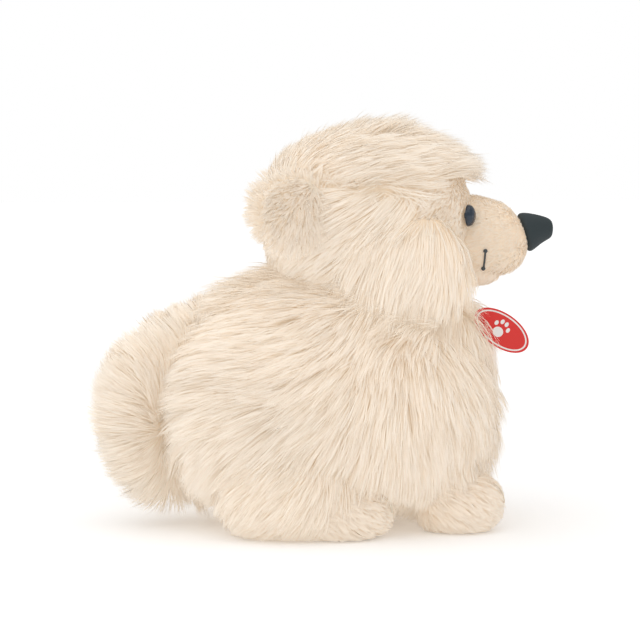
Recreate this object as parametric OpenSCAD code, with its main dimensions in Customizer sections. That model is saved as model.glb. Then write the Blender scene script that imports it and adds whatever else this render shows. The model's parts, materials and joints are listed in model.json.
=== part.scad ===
// Crouching long-pile plush dog, facing +X, its right side towards -Y, resting on z = 0.
// The origin is on the floor under the middle of the whole toy's box.
// Every soft piece is a plain solid at the size of its fabric with the pile pressed down.

/* [Torso] */
// Radius of the round torso across its length
torso_r = 58; // [54:0.5:58]
// Length of the torso from its middle to the chest
torso_front = 76; // [70:1:78]
// Length of the torso from its middle to the rump
torso_back = 78; // [72:1:78]
// Thickness of the plush fabric with its pile pressed down
skin_t = 2.5; // [1.5:0.1:3]

/* [Head] */
// Radius of the head across its length
head_r = 40; // [37:0.5:40]
// Length of the head from its middle to the face
head_front = 54; // [50:1:55]
// Length of the head from its middle to the nape
head_back = 50; // [44:1:51]
// Radius of the muzzle
muzzle_r = 19; // [16:0.5:19.5]
// Radius of the round ears
ear_r = 20; // [16:0.5:21]
// Radius of the moulded eyes
eye_r = 5.5; // [4:0.25:5.5]

/* [Tail and feet] */
// Half of the tail's length
tail_half = 50; // [44:1:51]
// Radius of the tail
tail_r = 17; // [14:0.5:17]
// Radius of the front paws
front_paw_r = 17; // [14:0.5:17]
// Radius of the rear paws
rear_paw_r = 16; // [13:0.5:16]

/* [Hidden] */
$fn = 96;

left = 1;
right = -1;
big = 400;

// Gap between two fabric pieces that touch on the real toy
gap = 0.3;
// Room round each ball of stuffing that a joint turns on
joint_room = 0.5;

torso_c = [4, 0, 60.5];
torso_power = 2.8;
belly_z = 3.3;
gusset_half = 16;

head_c = [20, 0, 158.5];
head_power = 2.4;
crown_half = 14;
// The head is flat underneath, clear of the back as it nods
head_floor = 125.5;
face_x = 60;

neck_c = [20, 0, 118];
neck_r = 16;
tail_joint = [-78, 0, 44];
tail_root_r = 9;
tail_lean = 8;
tail_power = 2.2;

bib_c = [56, 0, 84];
bib_front = 24;
bib_back = 22;
bib_r = 30;
base_half_l = 30;
base_half_w = 17;
pouch_c = [-16, 0, 25];
pouch_half = 34;
pouch_r = 17;
pouch_wall = 1;
seam_stitches = [-68 : 4 : -44];
stitch_r = 0.5;
care_x = -60;
care_w = 12;
care_l = 17;
care_t = 0.6;
care_lean = 38;
haunch_c = [-20, 35, 32];
haunch_front = 36;
haunch_back = 34;
haunch_r = 28;
leg_r = 14;
front_paw_c = [64, 29, 14.5];
front_paw_front = 23;
front_paw_back = 20;
rear_paw_c = [3, 43, 13.5];
rear_paw_half = 27;
sole_t = 1.6;
paw_z = sole_t + 0.2;
muzzle_c = [82, 0, 145];
muzzle_front = 22;
muzzle_back = 15;
chin_c = [80, 0, 131];
chin_half = 12;
chin_r = 9.5;
mouth_x = 79;
mouth_from = 42;
mouth_turn = 33;
knot_r = 1.1;
ruff_c = [44, 39, 134];
ruff_half = 9;
ruff_r = 24;
ear_c = [-19, 43, 160];
ear_yaw = 20;
ear_t = 4.2;
eye_c = [70.3, 18.5, 158];
eye_yaw = 24;
label_c = [87.5, -19, 100];
label_dip = 35;
label_half = 16;

nose_base = 99;
nose_rise = 3;
nose_len = 15;
nose_tilt = 86;
nose_tip = nose_base + nose_len * sin(nose_tilt);

// How far the leaning tail reaches back from its middle
tail_dual = tail_power / (tail_power - 1);
tail_reach = pow(
    pow(tail_r * cos(tail_lean), tail_dual) + pow(tail_half * sin(tail_lean), tail_dual),
    1 / tail_dual
);
// The tail reaches as far behind the origin as the nose does in front of it
tail_c = [tail_reach - nose_tip, 0, 64];

cream = [0.93, 0.87, 0.78];
light_cream = [0.96, 0.91, 0.84];
fill_white = [0.97, 0.97, 0.96];

// Radius of an egg at share s of its half length: 1 at the middle, 0 at the tip
function egg_share(s, power) = pow(1 - pow(min(1, abs(s)), power), 1 / power);

// Radius of the torso at a distance x along the toy
function torso_radius(x) =
    torso_r * egg_share((x - torso_c.x) / (x > torso_c.x ? torso_front : torso_back), torso_power);

// Steps along an egg's profile, closer together near its tips
function egg_steps(n) = [for (i = [0 : n]) cos(180 * i / n)];

// A solid of revolution along +X with a different length to the front and to the back
module egg(front, back, r, power = 2.4, n = 22) {
    profile = [for (s = egg_steps(n)) [r * egg_share(s, power), s * (s > 0 ? front : back)]];
    rotate([0, 90, 0]) rotate_extrude() polygon(profile);
}

// Everything on one side of the middle plane, at least d away from it
module half_space(side, d = 0) {
    translate([-big, side > 0 ? d : -d - 2 * big, -big]) cube(2 * big);
}

// Everything above height z
module above(z) {
    translate([-big, -big, z]) cube(2 * big);
}

// A copy on the left side, or its mirror image on the right
module on_side(side) {
    if (side > 0) children();
    else mirror([0, 1, 0]) children();
}

module torso_form(grow = 0) {
    translate(torso_c) egg(torso_front + grow, torso_back + grow, torso_r + grow, torso_power, 26);
}

module head_form(grow = 0) {
    intersection() {
        translate(head_c) egg(head_front + grow, head_back + grow, head_r + grow, head_power, 26);
        above(head_floor - grow);
    }
}

module tail_form(grow = 0) {
    translate(tail_c) rotate([0, tail_lean, 0]) rotate([0, -90, 0])
        egg(tail_half + grow, tail_half + grow, tail_r + grow, tail_power, 22);
}

module neck_ball(room = 0) {
    translate(neck_c) sphere(neck_r + room);
}

module tail_ball(room = 0) {
    translate(tail_joint) sphere(tail_root_r + room);
}

// The torso's fabric, before it is cut into panels
module torso_skin() {
    difference() {
        torso_form();
        torso_form(-skin_t);
        neck_ball(joint_room);
        tail_ball(joint_room);
        mirror([0, 0, 1]) above(-belly_z);
    }
}

// The strip between the side panels, along the bottom
module gusset_strip(grow = 0) {
    half = gusset_half + grow;
    translate([-big, -half, -big]) cube([2 * big, 2 * half, big + torso_c.z + grow]);
}

module torso_side(side) {
    color(cream) difference() {
        intersection() {
            torso_skin();
            half_space(side, gap / 2);
        }
        gusset_strip(gap / 2);
    }
}

module belly_gusset() {
    color(cream) intersection() {
        torso_skin();
        gusset_strip(-gap / 2);
    }
}

module bib_form(grow = 0) {
    translate(bib_c) egg(bib_front + grow, bib_back + grow, bib_r + grow);
}

module chest_bib() {
    color(light_cream) difference() {
        bib_form();
        torso_form(gap);
    }
}

module base_panel() {
    outline = [for (a = [0 : 10 : 350]) [base_half_l * cos(a), base_half_w * sin(a)]];
    color(cream) translate([torso_c.x, 0, 0]) linear_extrude(belly_z - gap) polygon(outline);
}

module pouch_form(grow = 0) {
    translate(pouch_c) egg(pouch_half + grow, pouch_half + grow, pouch_r + grow);
}

module torso_stuffing() {
    color(fill_white) difference() {
        torso_form(-skin_t - gap);
        pouch_form(gap);
        neck_ball(joint_room);
        tail_ball(joint_room);
        mirror([0, 0, 1]) above(-belly_z - skin_t);
    }
}

module bean_pouch() {
    color("white") difference() {
        pouch_form();
        pouch_form(-pouch_wall);
    }
}

module bean_pellets() {
    color("gainsboro") pouch_form(-pouch_wall - gap);
}

// Ladder stitches across the seam between the gusset and the left side panel
module closing_seam() {
    color(light_cream) for (x = seam_stitches)
        translate([x, gusset_half, torso_c.z - sqrt(pow(torso_radius(x), 2) - pow(gusset_half, 2))])
            rotate([asin(gusset_half / torso_radius(x)) + 90, 0, 0])
                cylinder(h = 5, r = stitch_r, center = true);
}

// A folded ribbon that stands out of the seam near the rump
module care_label() {
    reach = torso_radius(care_x) + 0.4;
    tuck = 2;
    color("white") difference() {
        translate([care_x, reach * cos(care_lean), torso_c.z - reach * sin(care_lean)])
            rotate([-care_lean, 0, 0]) translate([-care_w / 2, -tuck, -care_t / 2])
                cube([care_w, care_l + tuck, care_t]);
        torso_form(gap);
    }
}

module rear_paw_form(grow = 0) {
    translate(rear_paw_c)
        egg(rear_paw_half + grow, rear_paw_half + grow, rear_paw_r + grow, 2.4, 16);
}

module front_paw_form(grow = 0) {
    translate(front_paw_c)
        egg(front_paw_front + grow, front_paw_back + grow, front_paw_r + grow, 2.6, 16);
}

module haunch(side) {
    color(cream) on_side(side) difference() {
        intersection() {
            translate(haunch_c) egg(haunch_front, haunch_back, haunch_r);
            above(gap);
        }
        torso_form(gap);
        rear_paw_form(gap);
        half_space(right, 0);
    }
}

module leg_form(grow = 0) {
    translate([58, front_paw_c.y, 24]) cylinder(h = 34, r = leg_r + grow);
}

module front_leg(side) {
    color(cream) on_side(side) difference() {
        leg_form();
        torso_form(gap);
        front_paw_form(gap);
        bib_form(gap);
    }
}

// The fabric of a paw, open where it meets the torso
module front_paw(side) {
    color(light_cream) on_side(side) difference() {
        intersection() {
            front_paw_form();
            above(paw_z);
        }
        front_paw_form(-skin_t);
        torso_form(gap);
    }
}

module rear_paw(side) {
    color(cream) on_side(side) difference() {
        intersection() {
            rear_paw_form();
            above(paw_z);
        }
        rear_paw_form(-skin_t);
        torso_form(gap);
    }
}

module front_paw_stuffing(side) {
    color(fill_white) on_side(side) difference() {
        intersection() {
            front_paw_form(-skin_t - gap);
            above(paw_z + gap);
        }
        torso_form(gap);
    }
}

module rear_paw_stuffing(side) {
    color(fill_white) on_side(side) difference() {
        intersection() {
            rear_paw_form(-skin_t - gap);
            above(paw_z + gap);
        }
        torso_form(gap);
    }
}

// A flat oval patch under a paw
module sole(side, c, length, width) {
    outline = [for (a = [0 : 15 : 345]) [length / 2 * cos(a), width / 2 * sin(a)]];
    color(light_cream) on_side(side) translate([c.x, c.y, 0]) linear_extrude(sole_t) polygon(outline);
}

// Two thread loops over the front of each paw
module toe_stitches() {
    color("tan") for (side = [left, right]) {
        for (y = [-5, 5]) on_side(side) translate(front_paw_c + [11, y, 0]) toe_loop(11.5);
        for (y = [4, 9]) on_side(side) translate(rear_paw_c + [15, y, 0]) toe_loop(10);
    }
}

module toe_loop(r) {
    rotate([90, 0, 0]) rotate_extrude(angle = 60) translate([r, 0]) circle(0.6);
}

module neck_stuffing() {
    color(fill_white) neck_ball();
}

// Where the eye sits: +Z is straight out of the face
module at_eye(side) {
    on_side(side) translate(eye_c) rotate([0, 0, eye_yaw]) rotate([0, 90, 0]) children();
}

// The head's fabric, before it is cut into panels
module head_skin() {
    difference() {
        head_form();
        head_form(-skin_t);
        neck_ball(joint_room);
    }
}

module crown_strip(grow = 0) {
    half = crown_half + grow;
    translate([-big, -half, head_c.z - grow]) cube([big + face_x + grow, 2 * half, big]);
}

module head_side(side) {
    color(cream) difference() {
        intersection() {
            head_skin();
            half_space(side, gap / 2);
            translate([-big, -big, -big]) cube([big + face_x - gap / 2, 2 * big, 2 * big]);
        }
        crown_strip(gap / 2);
    }
}

module crown_gusset() {
    color(light_cream) intersection() {
        head_skin();
        crown_strip(-gap / 2);
    }
}

module face_mask() {
    color(light_cream) difference() {
        intersection() {
            head_skin();
            translate([face_x + gap / 2, -big, -big]) cube(2 * big);
        }
        for (side = [left, right]) at_eye(side) {
            translate([0, 0, -0.6]) cylinder(h = 8, r = eye_r + gap);
            cylinder(h = 14, r = 1.9, center = true);
        }
        muzzle_form(gap);
    }
}

module muzzle_form(grow = 0) {
    translate(muzzle_c) egg(muzzle_front + grow, muzzle_back + grow, muzzle_r + grow, 2.8, 18);
}

module muzzle() {
    color(light_cream) difference() {
        muzzle_form();
        head_form(-skin_t - gap);
    }
}

module chin() {
    color(light_cream) difference() {
        translate(chin_c) egg(chin_half, chin_half, chin_r, 2.4, 14);
        muzzle_form(gap);
        head_form(gap);
    }
}

module nose() {
    profile = [
        [0, 0], [10.2, 0], [9.6, nose_len / 3], [7, nose_len * 2 / 3], [4.2, nose_len - 1.6],
        [2.4, nose_len - 0.4], [0, nose_len]
    ];
    color([0.12, 0.15, 0.16]) difference() {
        translate([nose_base, 0, muzzle_c.z + nose_rise]) rotate([0, nose_tilt, 0])
            rotate_extrude() polygon(profile);
        muzzle_form(gap);
    }
}

// The smile: a thread arc on each side of the muzzle, with a knot at both ends
module mouth_stitches() {
    color([0.25, 0.27, 0.28]) for (side = [left, right])
        on_side(side) translate([mouth_x, 0, muzzle_c.z]) rotate([0, 90, 0]) rotate([0, 0, mouth_from]) {
            rotate_extrude(angle = mouth_turn) translate([muzzle_r, 0]) circle(stitch_r);
            for (turn = [0, mouth_turn])
                rotate([0, 0, turn]) translate([muzzle_r, 0, 0]) sphere(knot_r);
        }
}

module eye(side) {
    profile = [
        [0, -7], [1.6, -7], [1.6, -0.4], [eye_r, -0.4], [eye_r, 0.4], [eye_r * 0.9, 1.6],
        [eye_r * 0.66, 2.7], [eye_r * 0.36, 3.3], [0, 3.5]
    ];
    color([0.06, 0.08, 0.11]) at_eye(side) rotate_extrude() polygon(profile);
}

module eye_washer(side) {
    color("white") at_eye(side) translate([0, 0, -5.4]) difference() {
        cylinder(h = 1.4, r = 6);
        translate([0, 0, -1]) cylinder(h = 4, r = 1.65);
    }
}

module head_stuffing() {
    color(fill_white) difference() {
        head_form(-skin_t - gap);
        muzzle_form(gap);
        neck_ball(joint_room);
        for (side = [left, right]) at_eye(side) {
            translate([0, 0, -7.4]) cylinder(h = 9, r = 2);
            translate([0, 0, -5.8]) cylinder(h = 9, r = 6.5);
        }
    }
}

module ruff_form() {
    translate(ruff_c) rotate([0, 0, 90]) egg(ruff_half, ruff_half, ruff_r, 2.2, 16);
}

module cheek_ruff(side) {
    color(cream) on_side(side) difference() {
        ruff_form();
        head_form(gap);
        translate([face_x + 4, -big, -big]) cube(2 * big);
    }
}

// An ear's disc: +X is its outer face
module at_ear(side) {
    on_side(side) translate(ear_c) rotate([0, 0, 90 - ear_yaw]) children();
}

module ear_disc(side) {
    on_side(side) difference() {
        translate(ear_c) rotate([0, 0, 90 - ear_yaw]) egg(ear_t, ear_t, ear_r, 2.2, 16);
        head_form(2.4);
    }
}

module ear_lining(side) {
    color(light_cream) intersection() {
        ear_disc(side);
        at_ear(side) translate([gap / 2, -big, -big]) cube(2 * big);
    }
}

module ear_back(side) {
    color(cream) intersection() {
        ear_disc(side);
        at_ear(side) translate([-gap / 2 - 2 * big, -big, -big]) cube(2 * big);
    }
}

module tail_root_stuffing() {
    color(fill_white) tail_ball();
}

// The tail's fabric, before it is cut into panels
module tail_skin() {
    difference() {
        tail_form();
        tail_form(-skin_t);
        tail_ball(joint_room);
    }
}

module tail_panel(side) {
    color(cream) intersection() {
        tail_skin();
        half_space(side, gap / 2);
    }
}

module tail_stuffing() {
    color(fill_white) difference() {
        tail_form(-skin_t - gap);
        tail_ball(joint_room);
    }
}

// A folded woven ribbon with round corners, sewn in by its upper end
module chest_label() {
    outline = [for (a = [0 : 10 : 350]) [label_half * cos(a), 8.6 * sin(a)]];
    color([0.86, 0.17, 0.14]) translate(label_c) rotate([0, label_dip, 0]) rotate([90, 0, 0])
        linear_extrude(1.2, center = true) polygon(outline);
}

torso_side(left);  // torso_side_left
torso_side(right);  // torso_side_right
belly_gusset();
chest_bib();
base_panel();
torso_stuffing();
bean_pouch();
bean_pellets();
closing_seam();
care_label();
haunch(left);  // haunch_left
haunch(right);  // haunch_right
front_leg(left);  // front_leg_left
front_leg(right);  // front_leg_right
front_paw(left);  // front_paw_left
front_paw(right);  // front_paw_right
rear_paw(left);  // rear_paw_left
rear_paw(right);  // rear_paw_right
sole(left, front_paw_c, 34, 20);  // front_sole_left
sole(right, front_paw_c, 34, 20);  // front_sole_right
sole(left, rear_paw_c, 36, 19);  // rear_sole_left
sole(right, rear_paw_c, 36, 19);  // rear_sole_right
front_paw_stuffing(left);  // front_paw_stuffing_left
front_paw_stuffing(right);  // front_paw_stuffing_right
rear_paw_stuffing(left);  // rear_paw_stuffing_left
rear_paw_stuffing(right);  // rear_paw_stuffing_right
toe_stitches();
neck_stuffing();
head_side(left);  // head_side_left
head_side(right);  // head_side_right
crown_gusset();
face_mask();
muzzle();
chin();
nose();
mouth_stitches();
eye(left);  // eye_left
eye(right);  // eye_right
eye_washer(left);  // eye_washer_left
eye_washer(right);  // eye_washer_right
head_stuffing();
cheek_ruff(left);  // cheek_ruff_left
cheek_ruff(right);  // cheek_ruff_right
ear_back(left);  // ear_back_left
ear_back(right);  // ear_back_right
ear_lining(left);  // ear_lining_left
ear_lining(right);  // ear_lining_right
tail_root_stuffing();
tail_panel(left);  // tail_panel_left
tail_panel(right);  // tail_panel_right
tail_stuffing();
chest_label();
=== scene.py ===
"""A crouching long-pile plush dog: its panels, pile, face, threads and label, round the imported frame.

Run as a script. Every plush panel is one mesh, made of its cloth and of the strands that stand on it.
"""

import json
import math

import bmesh
import bpy
import numpy as np
from mathutils import Matrix, Vector
from mathutils.kdtree import KDTree


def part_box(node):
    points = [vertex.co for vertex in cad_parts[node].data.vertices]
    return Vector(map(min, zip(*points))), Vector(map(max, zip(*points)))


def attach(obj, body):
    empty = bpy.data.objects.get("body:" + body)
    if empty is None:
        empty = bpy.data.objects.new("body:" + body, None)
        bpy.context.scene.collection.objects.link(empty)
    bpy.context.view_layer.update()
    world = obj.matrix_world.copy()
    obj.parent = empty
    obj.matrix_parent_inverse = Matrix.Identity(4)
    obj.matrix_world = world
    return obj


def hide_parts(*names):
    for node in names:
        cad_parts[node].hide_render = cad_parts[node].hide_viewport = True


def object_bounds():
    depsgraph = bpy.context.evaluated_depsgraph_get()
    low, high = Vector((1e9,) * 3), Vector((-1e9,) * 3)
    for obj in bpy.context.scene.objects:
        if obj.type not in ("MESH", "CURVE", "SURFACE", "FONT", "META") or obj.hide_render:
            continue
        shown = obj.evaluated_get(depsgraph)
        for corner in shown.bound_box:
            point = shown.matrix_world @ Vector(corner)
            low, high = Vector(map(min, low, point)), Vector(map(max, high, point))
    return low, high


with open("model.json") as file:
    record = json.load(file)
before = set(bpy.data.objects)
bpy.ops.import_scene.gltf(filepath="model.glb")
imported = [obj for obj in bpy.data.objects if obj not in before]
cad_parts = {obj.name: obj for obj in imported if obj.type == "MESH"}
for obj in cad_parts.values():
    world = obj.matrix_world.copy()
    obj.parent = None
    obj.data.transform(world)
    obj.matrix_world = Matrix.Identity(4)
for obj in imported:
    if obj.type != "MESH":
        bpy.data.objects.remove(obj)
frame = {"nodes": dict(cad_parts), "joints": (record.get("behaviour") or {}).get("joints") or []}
NODES = frame["nodes"]
CAD_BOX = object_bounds()

bl_info = {
    "name": "Plush dog",
    "version": (1, 0, 0),
    "blender": (4, 5, 0),
    "location": "3D View > Sidebar > Plush dog",
    "description": "Makes a crouching long-pile plush dog round its packed frame",
    "category": "Object",
}

MM = 0.001
LEFT, RIGHT = 1, -1
SIDES = (("left", LEFT), ("right", RIGHT))
UP = Vector((0, 0, 1))
FORWARD = Vector((1, 0, 0))
ORIGIN = Vector((0, 0, 0))
PILE_UV = "OFBake"
PILE_GLOW = 0.13  # painted light: the pile glows with this share of its own colour, in place of light scattered inside the pile
SIDE_ROOM = CAD_BOX[1][1] + 12.5 * MM  # how far from the middle plane the pile may stand
FLOOR_GLOW = 0.14  # light of the floor's own, which hides its far edge
KEY_TILT, KEY_SOFTNESS = (14, -14), 95  # degrees


# ---------------------------------------------------------------- settings


def length(name, description, default):
    return bpy.props.FloatProperty(
        name=name, description=description, default=default, min=0, unit="LENGTH", precision=4
    )


def colour(name, description, default):
    return bpy.props.FloatVectorProperty(
        name=name, description=description, default=default, size=3, min=0, max=1, subtype="COLOR"
    )


def angle(name, description, degrees):
    return bpy.props.FloatProperty(
        name=name, description=description, default=math.radians(degrees), subtype="ANGLE"
    )


class PlushPile(bpy.types.PropertyGroup):
    """How long the pile is on each part, how wide its strands are and how thick its cloth is."""

    flank: length("Flanks", "Pile length on the torso", 29 * MM)
    chest: length("Chest", "Pile length on the chest and front legs", 27 * MM)
    haunch: length("Haunches", "Pile length on the haunches", 22 * MM)
    belly: length("Belly", "Pile length under the torso", 9 * MM)
    cheek: length("Cheeks", "Pile length on the sides of the head", 27 * MM)
    ruff: length("Cheek ruffs", "Pile length on the ruffs under the cheeks", 31 * MM)
    crown: length("Crown", "Pile length on top of the head", 23 * MM)
    tail: length("Tail", "Pile length on the tail", 21 * MM)
    ear: length("Ear backs", "Pile length on the ears", 11 * MM)
    mask: length("Face", "Pile length round the eyes", 6 * MM)
    paw: length("Paws", "Pile length on the paws", 10 * MM)
    nap: length("Short pile", "Pile length on the muzzle", 3 * MM)
    strand: length("Strand width", "Width of a long strand at its root", 0.42 * MM)
    hair: length("Short strand width", "Width of a short strand at its root", 0.34 * MM)
    cloth: length("Cloth", "Thickness of the cloth that carries the pile", 1.4 * MM)


class PlushColours(bpy.types.PropertyGroup):
    """The colours of the cloths, threads and moulded pieces, as linear values."""

    # Painted shade: the root colours are darker and warmer than the tips, standing for the shade deep in the
    # pile.
    long_root_painted_shade: colour("Long pile, roots", "Colour of the long pile at the cloth", (0.93, 0.80, 0.635))
    long_tip: colour("Long pile, tips", "Colour of the long pile at its tips", (0.965, 0.885, 0.785))
    short_root_painted_shade: colour("Short pile, roots", "Colour of the short pile at the cloth", (0.93, 0.80, 0.64))
    short_tip: colour("Short pile, tips", "Colour of the short pile at its tips", (0.96, 0.875, 0.77))
    sole: colour("Soles", "Colour of the cloth under the paws", (0.86, 0.77, 0.64))
    filling: colour("Filling", "Colour of the fibre filling", (0.86, 0.86, 0.84))
    pouch: colour("Pouch", "Colour of the pellet pouch", (0.78, 0.78, 0.76))
    pellets: colour("Pellets", "Colour of the pellets", (0.62, 0.64, 0.66))
    seam_thread: colour("Seam thread", "Colour of the thread in the seams", (0.78, 0.68, 0.54))
    mouth_thread: colour("Mouth thread", "Colour of the thread of the mouth", (0.055, 0.07, 0.08))
    satin: colour("Care label", "Colour of the satin care label", (0.86, 0.86, 0.84))
    nose: colour("Nose", "Colour of the velour nose", (0.007, 0.013, 0.014))
    eye: colour("Eyes", "Colour of the moulded eyes", (0.006, 0.013, 0.017))
    washer: colour("Eye washers", "Colour of the washers behind the eyes", (0.80, 0.80, 0.78))
    label: colour("Chest label", "Colour of the chest label", (0.80, 0.028, 0.022))
    motif: colour("Label motif", "Colour of the woven motif on the chest label", (0.88, 0.84, 0.82))
    floor: colour("Floor", "Colour of the floor", (0.98, 0.98, 0.98))


class PlushStage(bpy.types.PropertyGroup):
    """Where the camera stands and how bright the lights are."""

    azimuth: angle("Azimuth", "Turn of the camera round the toy", -5)
    elevation: angle("Elevation", "Height angle of the camera", 5)
    view_width: length("View width", "Width that the camera sees at the toy", 0.327)
    focal: bpy.props.FloatProperty(name="Lens", description="Focal length in millimetres", default=110)
    sky: bpy.props.FloatProperty(name="Sky", description="Strength of the light from all round", default=0.58)
    key: bpy.props.FloatProperty(name="Key light", description="Strength of the main light", default=1.3)


# ---------------------------------------------------------------- forms


def mm(*sizes):
    """Millimetres as metres."""
    return [size * MM for size in sizes]


def span(*nodes):
    """The lowest and highest corners of the box round some frame nodes."""
    corners = [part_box(node) for node in nodes]
    low = Vector([min(c[0][i] for c in corners) for i in range(3)])
    high = Vector([max(c[1][i] for c in corners) for i in range(3)])
    return low, high


def spot(nodes, x, y, z):
    """A point in the box round some nodes, as shares from its low side, 0, to its high side, 1."""
    low, high = span(*nodes)
    return Vector((low.x + (high.x - low.x) * x, low.y + (high.y - low.y) * y, low.z + (high.z - low.z) * z))


class Egg:
    """A round form with its own length to the front and to the back, its own width and its own height."""

    def __init__(self, centre, front, back, side, up, power=2.4, grow=0.0):
        self.centre = Vector(centre)
        self.front = front + grow
        self.back = back + grow
        self.side = side + grow
        self.up = up + grow
        self.power = power

    def add(self, bm, detail=5):
        """Adds the form to a bmesh and returns its vertices."""
        verts = bmesh.ops.create_icosphere(bm, subdivisions=detail, radius=1)["verts"]
        for v in verts:
            across = math.hypot(v.co.y, v.co.z)
            v.co *= (abs(v.co.x) ** self.power + across ** self.power) ** (-1 / self.power)
            v.co.x *= self.front if v.co.x > 0 else self.back
            v.co.y *= self.side
            v.co.z *= self.up
            v.co += self.centre
        return verts

    def depth(self, points):
        """Below 1 inside the form and above 1 outside, for an array of points."""
        x = points[:, 0] - self.centre.x
        y = (points[:, 1] - self.centre.y) / self.side
        z = (points[:, 2] - self.centre.z) / self.up
        x = np.abs(np.where(x > 0, x / self.front, x / self.back))
        return (x ** self.power + np.hypot(y, z) ** self.power) ** (1 / self.power)


def mirrored(egg, side):
    """The same form on the left, side 1, or on the right, side -1."""
    centre = Vector((egg.centre.x, egg.centre.y * side, egg.centre.z))
    return Egg(centre, egg.front, egg.back, egg.side, egg.up, egg.power)


def middle(node):
    """The middle of a frame node's box."""
    low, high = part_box(node)
    return (low + high) / 2


def hinge(joint):
    """Where a joint of the frame turns."""
    place = next(j["pos_m"] for j in frame["joints"] if j["name"] == joint)
    return Vector(place)


EYE_Z = middle("eye_left").z
TORSO_NODES = ("torso_side_left", "torso_side_right")
HEAD_NODES = ("head_side_left", "head_side_right", "face_mask")
TAIL_NODES = ("tail_panel_left", "tail_panel_right")


def torso_egg(grow=0.0):
    low, high = span(*TORSO_NODES)
    radius = high.y
    front = (high.x - low.x) * 0.4935
    centre = (high.x - front, 0, high.z - radius)
    return Egg(centre, front, high.x - low.x - front, radius, radius, 2.8, grow)


def head_egg(grow=0.0):
    low, high = span(*HEAD_NODES, "crown_gusset")
    radius = high.y
    front = (high.x - low.x) * 0.52
    centre = (high.x - front, 0, high.z - radius)
    return Egg(centre, front, high.x - low.x - front, radius, radius, 2.4, grow)


def shoulder_egg():
    """The rise of the back towards the neck."""
    high = span(*TORSO_NODES)[1]
    x = 5 * MM
    return Egg((x, 0, high.z - 20.5 * MM), *mm(42, 62, 40, 26), 2.2)


def nape_egg():
    """The back of the head above the neck."""
    head = head_egg().centre
    return Egg((head.x - 14 * MM, 0, head.z - 15 * MM), *mm(34, 32, 37, 27), 2.4)


def bib_egg():
    high = span("chest_bib")[1]
    return Egg((high.x - 24 * MM, 0, high.z - 30 * MM), *mm(23, 22, 29, 31))


def haunch_egg():
    low, high = span("haunch_left")
    return Egg((low.x + 34 * MM, high.y - 28 * MM, high.z - 28 * MM), *mm(35, 33, 25, 28))


def front_paw_egg():
    high = span("front_paw_left")[1]
    return Egg((high.x - 23 * MM, high.y - 17 * MM, high.z - 17 * MM), *mm(22.6, 19, 15.8, 15.2), 2.5)


def rear_paw_egg():
    high = span("rear_paw_left")[1]
    return Egg((high.x - 27 * MM, high.y - 16 * MM, high.z - 16 * MM), *mm(26.6, 26, 15, 14.6), 2.4)


def leg_egg():
    high = span("front_leg_left")[1]
    return Egg((high.x - 14 * MM, high.y - 14 * MM, high.z - 18 * MM), *mm(14, 14, 14, 24))


def muzzle_egg(grow=0.0):
    low, high = span("muzzle")
    return Egg((high.x - 22 * MM, 0, (low.z + high.z) / 2), *mm(21, 17, 18, 18.2), 2.7, grow)


def chin_egg():
    low, high = span("chin")
    return Egg((high.x - 12 * MM, 0, low.z + 9.5 * MM), *mm(11, 12, 9, 8.5))


def ruff_egg():
    low, high = span("cheek_ruff_left")
    x = 42 * MM
    return Egg((x, high.y - 13 * MM, low.z + 25 * MM), *mm(23, 40, 8, 24), 2.2)


# ---------------------------------------------------------------- cloth


def coords(mesh):
    """A mesh's points as an array."""
    co = np.empty(len(mesh.vertices) * 3)
    mesh.vertices.foreach_get("co", co)
    return co.reshape(-1, 3)


def set_coords(mesh, co):
    mesh.vertices.foreach_set("co", np.ascontiguousarray(co).ravel())
    mesh.update()


def baked_mesh(obj):
    """The object's mesh with its modifiers applied."""
    depsgraph = bpy.context.evaluated_depsgraph_get()
    return bpy.data.meshes.new_from_object(obj.evaluated_get(depsgraph))


def new_object(name, mesh):
    obj = bpy.data.objects.new(name, mesh)
    bpy.context.scene.collection.objects.link(obj)
    return obj


def placed(name, mesh, material, body, slot, *nodes):
    """An object of one material that rides on a body, in the place of some nodes."""
    obj = new_object(name, mesh)
    obj.data.materials.append(material)
    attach(obj, body)
    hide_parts(*nodes)
    return obj


def made(bm, name):
    """Ends a bmesh and returns it as a mesh."""
    mesh = bpy.data.meshes.new(name)
    bm.to_mesh(mesh)
    bm.free()
    return mesh


def swell(obj, cap):
    """Blows the closed cloth up with a soft pressure, and lets no point move further than cap."""
    pressure, frames = 4, 20
    scene = bpy.context.scene
    rest = coords(obj.data)
    cloth = obj.modifiers.new("pressure", "CLOTH")
    cloth.settings.use_pressure = True
    cloth.settings.uniform_pressure_force = pressure
    cloth.settings.effector_weights.gravity = 0
    cloth.point_cache.frame_start = 1
    cloth.point_cache.frame_end = frames
    for frame_number in range(1, frames + 1):
        scene.frame_set(frame_number)
        bpy.context.view_layer.update()
    swollen = baked_mesh(obj)
    move = coords(swollen) - rest
    bpy.data.meshes.remove(swollen)
    obj.modifiers.remove(cloth)
    scene.frame_set(1)
    far = np.maximum(np.linalg.norm(move, axis=1, keepdims=True), 1e-9)
    set_coords(obj.data, rest + move * np.minimum(1, cap / far))


def stuffed(name, eggs, voxel=4 * MM, cap=2 * MM, shape=None):
    """One closed soft form round some eggs: remeshed, swollen by its filling and subdivided once."""
    bm = bmesh.new()
    for egg in eggs:
        egg.add(bm)
    obj = new_object(name, made(bm, name))
    remesh = obj.modifiers.new("remesh", "REMESH")
    remesh.mode = "VOXEL"
    remesh.voxel_size = voxel
    remesh.use_smooth_shade = True
    obj.data = baked_mesh(obj)
    obj.modifiers.clear()
    swell(obj, cap)
    subdivide = obj.modifiers.new("subdivide", "SUBSURF")
    subdivide.levels = 1
    subdivide.render_levels = 1
    done = baked_mesh(obj)
    bpy.data.objects.remove(obj)
    if shape:
        bm = bmesh.new()
        bm.from_mesh(done)
        shape(bm)
        bm.to_mesh(done)
        bm.free()
    return done


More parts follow.
